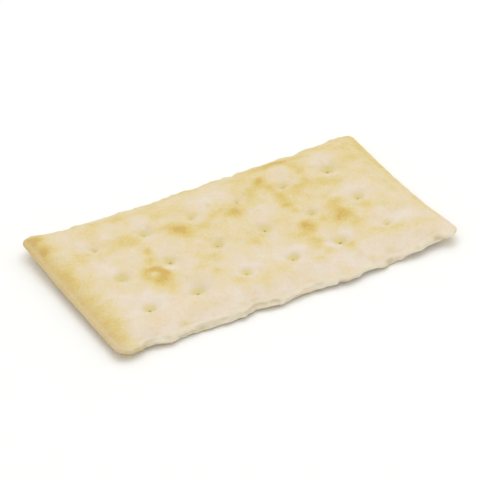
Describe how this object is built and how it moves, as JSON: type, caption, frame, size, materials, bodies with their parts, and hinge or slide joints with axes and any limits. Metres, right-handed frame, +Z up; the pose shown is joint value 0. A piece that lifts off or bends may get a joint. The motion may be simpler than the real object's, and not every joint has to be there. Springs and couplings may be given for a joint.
{
  "type": "butter cracker",
  "caption": "Thin rectangular butter cracker, docked with rows of pin holes, with blistered crust, torn long sides and pinched, toasted short ends.",
  "frame": {"origin": "middle of the cracker's plan, on the table it rests on", "axes": "+X along the long side, towards the less toasted end; +Y across, towards the far torn side; +Z up, out of the docked face"},
  "size_m": [0.0628, 0.038, 0.0035],
  "materials": {
    "baked_crust": "matte baked dough, pale cream with golden blisters"
  },
  "bodies": {
    "root": {"cracker": "baked_crust"}
  },
  "joints": []
}
